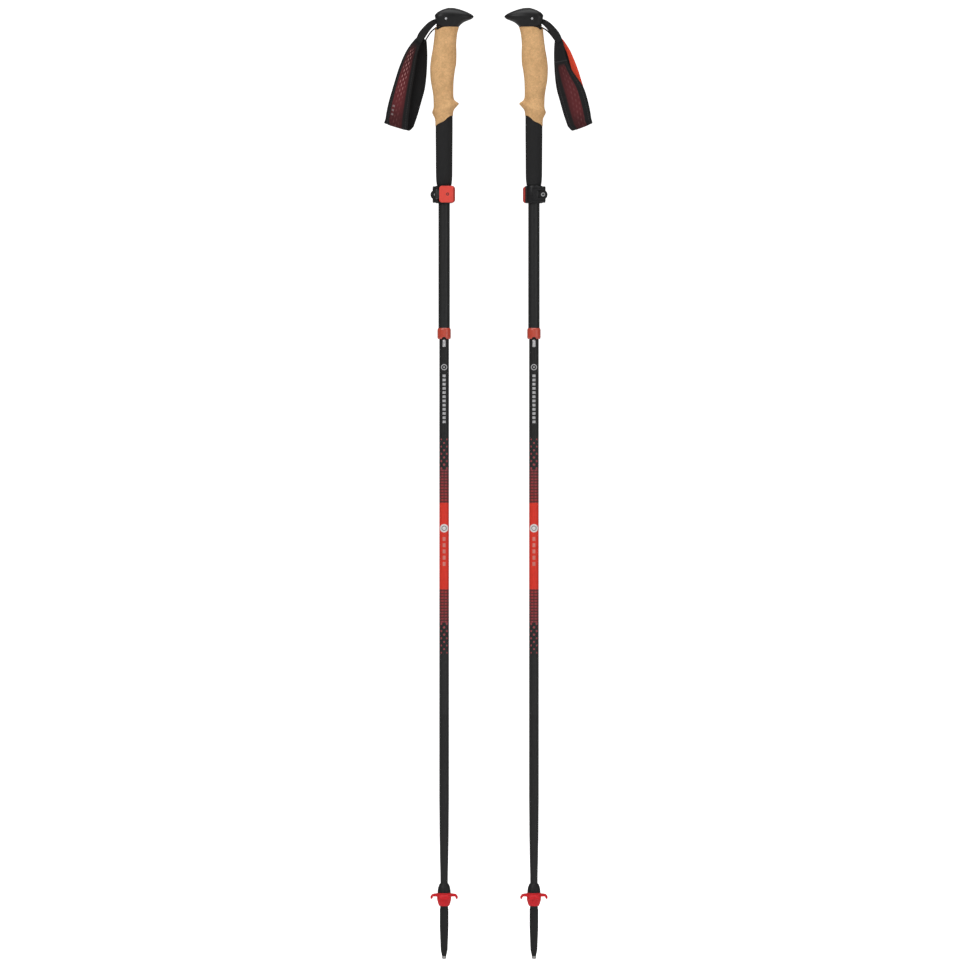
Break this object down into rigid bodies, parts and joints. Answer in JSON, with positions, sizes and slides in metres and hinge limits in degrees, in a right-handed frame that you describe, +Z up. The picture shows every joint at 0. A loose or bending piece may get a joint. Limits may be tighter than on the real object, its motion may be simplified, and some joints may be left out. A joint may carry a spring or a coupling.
{
  "type": "trekking poles",
  "caption": "Pair of three-section folding trekking poles with cork grips, padded wrist straps, lever clamps, push-button sliders and small baskets.",
  "frame": {"origin": "midway between the two tips, on the surface that the tips stand on", "axes": "+Z up along the shafts, +X from the left pole to the right pole, -Y towards the viewer who faces the lever of the left pole"},
  "size_m": [0.273, 0.0364, 1.25],
  "materials": {
    "cap_plastic": "satin",
    "cork": "matte",
    "grip_foam": "matte",
    "strap_padding": "matte",
    "webbing_black": "matte",
    "tube_alloy": "satin",
    "shaft_black": "satin",
    "shaft_printed": "satin",
    "spigot_alloy": "satin",
    "clamp_plastic": "satin",
    "lever_red": "satin",
    "collar_red": "satin",
    "pin_steel": "satin",
    "button_steel": "satin",
    "nylon_black": "satin",
    "cord_cover": "satin",
    "tip_plastic": "satin",
    "hard_tip_metal": "satin",
    "basket_red": "satin"
  },
  "bodies": {
    "left_handle": {"left_head_cap": "cap_plastic", "left_strap_pin": "pin_steel", "left_strap_wedge": "nylon_black", "left_cork_grip": "cork", "left_foam_extension": "grip_foam", "left_grip_tube": "tube_alloy", "left_clamp_collar": "clamp_plastic", "left_clamp_screw": "pin_steel", "left_lever_pin": "pin_steel"},
    "left_lever": {"left_lock_lever": "lever_red"},
    "left_strap": {"left_strap_band": "strap_padding", "left_strap_webbing": "webbing_black"},
    "left_upper": {"left_upper_shaft": "shaft_black", "left_shaft_bush": "nylon_black", "left_cord_anchor": "tube_alloy", "left_shaft_collar": "collar_red"},
    "left_slider": {"left_slider_tube": "shaft_black", "left_slider_bush": "nylon_black"},
    "left_button": {"left_release_button": "button_steel"},
    "left_middle": {"left_middle_tube": "shaft_printed", "left_middle_spigot": "spigot_alloy", "left_middle_cone": "nylon_black", "left_middle_cord": "cord_cover"},
    "left_lower": {"left_lower_tube": "shaft_black", "left_lower_spigot": "spigot_alloy", "left_lower_cone": "nylon_black", "left_lower_cord": "cord_cover", "left_tip_housing": "tip_plastic", "left_hard_tip": "hard_tip_metal"},
    "left_basket_ring": {"left_basket": "basket_red"},
    "right_handle": {"right_head_cap": "cap_plastic", "right_strap_pin": "pin_steel", "right_strap_wedge": "nylon_black", "right_cork_grip": "cork", "right_foam_extension": "grip_foam", "right_grip_tube": "tube_alloy", "right_clamp_collar": "clamp_plastic", "right_clamp_screw": "pin_steel", "right_lever_pin": "pin_steel"},
    "right_lever": {"right_lock_lever": "lever_red"},
    "right_strap": {"right_strap_band": "strap_padding", "right_strap_webbing": "webbing_black"},
    "right_upper": {"right_upper_shaft": "shaft_black", "right_shaft_bush": "nylon_black", "right_cord_anchor": "tube_alloy", "right_shaft_collar": "collar_red"},
    "right_slider": {"right_slider_tube": "shaft_black", "right_slider_bush": "nylon_black"},
    "right_button": {"right_release_button": "button_steel"},
    "right_middle": {"right_middle_tube": "shaft_printed", "right_middle_spigot": "spigot_alloy", "right_middle_cone": "nylon_black", "right_middle_cord": "cord_cover"},
    "right_lower": {"right_lower_tube": "shaft_black", "right_lower_spigot": "spigot_alloy", "right_lower_cone": "nylon_black", "right_lower_cord": "cord_cover", "right_tip_housing": "tip_plastic", "right_hard_tip": "hard_tip_metal"},
    "right_basket_ring": {"right_basket": "basket_red"}
  },
  "joints": [
    {"name": "left_lever_hinge", "type": "hinge", "parent": "left_handle", "child": "left_lever", "pos_m": [-0.0685, -0.0105, 1.0045], "axis": [0, 0, -1], "range_deg": [0, 130]},
    {"name": "left_strap_swing", "type": "hinge", "parent": "left_handle", "child": "left_strap", "pos_m": [-0.072, 0, 1.2325], "axis": [0, 1, 0], "range_deg": [0, 45]},
    {"name": "left_length_slide", "type": "slide", "parent": "left_handle", "child": "left_upper", "axis": [0, 0, 1], "range_m": [0, 0.15]},
    {"name": "left_slider_retract", "type": "slide", "parent": "left_upper", "child": "left_slider", "axis": [0, 0, 1], "range_m": [0, 0.065], "deforming": ["left_release_button"]},
    {"name": "left_button_press", "type": "slide", "parent": "left_slider", "child": "left_button", "axis": [0, 1, 0], "range_m": [0, 0.0022], "stiffness_N_per_m": 400},
    {"name": "left_upper_joint_pull", "type": "slide", "parent": "left_slider", "child": "left_middle", "axis": [0, 0, -1], "range_m": [0, 0.045]},
    {"name": "left_lower_joint_pull", "type": "slide", "parent": "left_middle", "child": "left_lower", "axis": [0, 0, -1], "range_m": [0, 0.045]},
    {"name": "left_basket_unscrew", "type": "slide", "parent": "left_lower", "child": "left_basket_ring", "axis": [0, 0, -1], "range_m": [0, 0.09]},
    {"name": "right_lever_hinge", "type": "hinge", "parent": "right_handle", "child": "right_lever", "pos_m": [0.0685, 0.0105, 1.0045], "axis": [0, 0, -1], "range_deg": [0, 130]},
    {"name": "right_strap_swing", "type": "hinge", "parent": "right_handle", "child": "right_strap", "pos_m": [0.072, 0, 1.2325], "axis": [0, -1, 0], "range_deg": [0, 45]},
    {"name": "right_length_slide", "type": "slide", "parent": "right_handle", "child": "right_upper", "axis": [0, 0, 1], "range_m": [0, 0.15]},
    {"name": "right_slider_retract", "type": "slide", "parent": "right_upper", "child": "right_slider", "axis": [0, 0, 1], "range_m": [0, 0.065], "deforming": ["right_release_button"]},
    {"name": "right_button_press", "type": "slide", "parent": "right_slider", "child": "right_button", "axis": [0, 1, 0], "range_m": [0, 0.0022], "stiffness_N_per_m": 400},
    {"name": "right_upper_joint_pull", "type": "slide", "parent": "right_slider", "child": "right_middle", "axis": [0, 0, -1], "range_m": [0, 0.045]},
    {"name": "right_lower_joint_pull", "type": "slide", "parent": "right_middle", "child": "right_lower", "axis": [0, 0, -1], "range_m": [0, 0.045]},
    {"name": "right_basket_unscrew", "type": "slide", "parent": "right_lower", "child": "right_basket_ring", "axis": [0, 0, -1], "range_m": [0, 0.09]},
    {"name": "poles_apart", "type": "slide", "parent": "left_handle", "child": "right_handle", "axis": [1, 0, 0], "range_m": [0, 0.3]}
  ]
}
